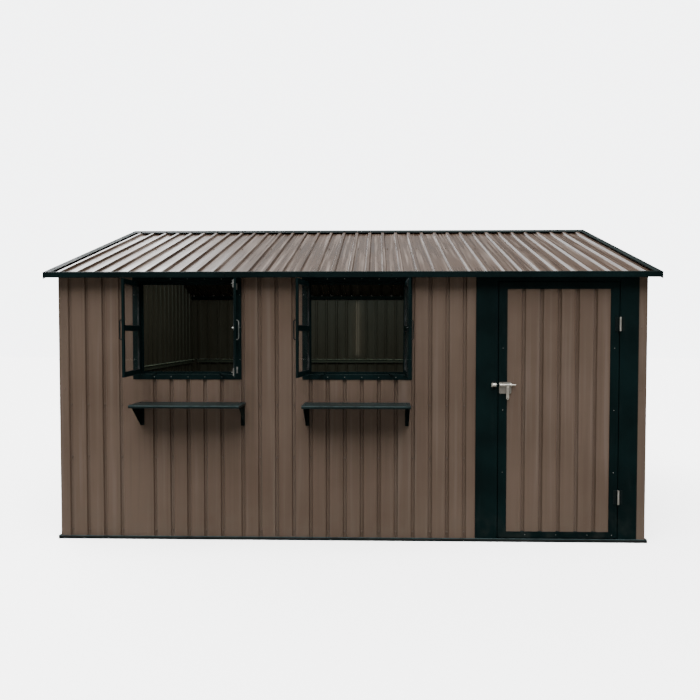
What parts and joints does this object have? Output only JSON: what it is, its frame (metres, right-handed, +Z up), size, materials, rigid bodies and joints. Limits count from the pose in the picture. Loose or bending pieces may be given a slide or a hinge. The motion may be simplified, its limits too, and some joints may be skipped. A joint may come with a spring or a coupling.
{
  "type": "metal garden shed",
  "caption": "Ribbed metal garden shed with a shallow gable roof, a hinged door with a sliding pad bolt, and window hatches with open sashes over shelves.",
  "frame": {"origin": "on the ground, under the outer face of the front wall, half way along it", "axes": "+X along the front to the right, +Y into the shed, +Z up"},
  "size_m": [4.138, 3.4085, 2.3687],
  "materials": {
    "wall_sheet": "satin",
    "roof_sheet": "gloss",
    "dark_trim": "satin",
    "shelf_paint": "satin",
    "galvanised_frame": "satin",
    "zinc_plate": "satin",
    "window_glass": "gloss"
  },
  "bodies": {
    "shed": {"back_wall": "wall_sheet", "base_rail_back": "dark_trim", "base_rail_front": "dark_trim", "base_rail_left": "dark_trim", "base_rail_right": "dark_trim", "corner_posts": "wall_sheet", "door_header": "dark_trim", "door_post_left": "dark_trim", "door_post_right": "dark_trim", "eave_trims": "dark_trim", "front_wall_left": "wall_sheet", "front_wall_middle": "wall_sheet", "front_wall_right": "wall_sheet", "front_wall_under_left_window": "wall_sheet", "front_wall_under_right_window": "wall_sheet", "latch_keeper": "zinc_plate", "left_wall": "wall_sheet", "left_window_left_sash": "dark_trim", "left_window_right_sash": "dark_trim", "post_hinge_leaves": "zinc_plate", "ridge_cap": "dark_trim", "right_wall": "wall_sheet", "right_window_left_sash": "dark_trim", "right_window_right_sash": "dark_trim", "roof_back": "roof_sheet", "roof_front": "roof_sheet", "roof_purlins": "galvanised_frame", "shelf_brackets": "shelf_paint", "shelf_left": "shelf_paint", "shelf_right": "shelf_paint", "top_rails": "dark_trim", "verge_trims": "dark_trim", "wall_girts": "galvanised_frame", "window_bolts": "zinc_plate", "window_frame_left": "dark_trim", "window_frame_right": "dark_trim", "window_glass": "window_glass", "window_handles": "dark_trim", "window_hinges": "zinc_plate", "window_stays": "dark_trim"},
    "door": {"door_frame": "dark_trim", "door_panel": "wall_sheet", "door_hinge_leaves": "zinc_plate", "latch_plate": "zinc_plate"},
    "bolt": {"latch_bolt": "zinc_plate"}
  },
  "joints": [
    {"name": "door_hinge", "type": "hinge", "parent": "shed", "child": "door", "pos_m": [1.813, -0.015, 0.9], "axis": [0, 0, 1], "range_deg": [0, 115]},
    {"name": "bolt_slide", "type": "slide", "parent": "door", "child": "bolt", "axis": [-1, 0, 0], "range_m": [0, 0.03]}
  ]
}
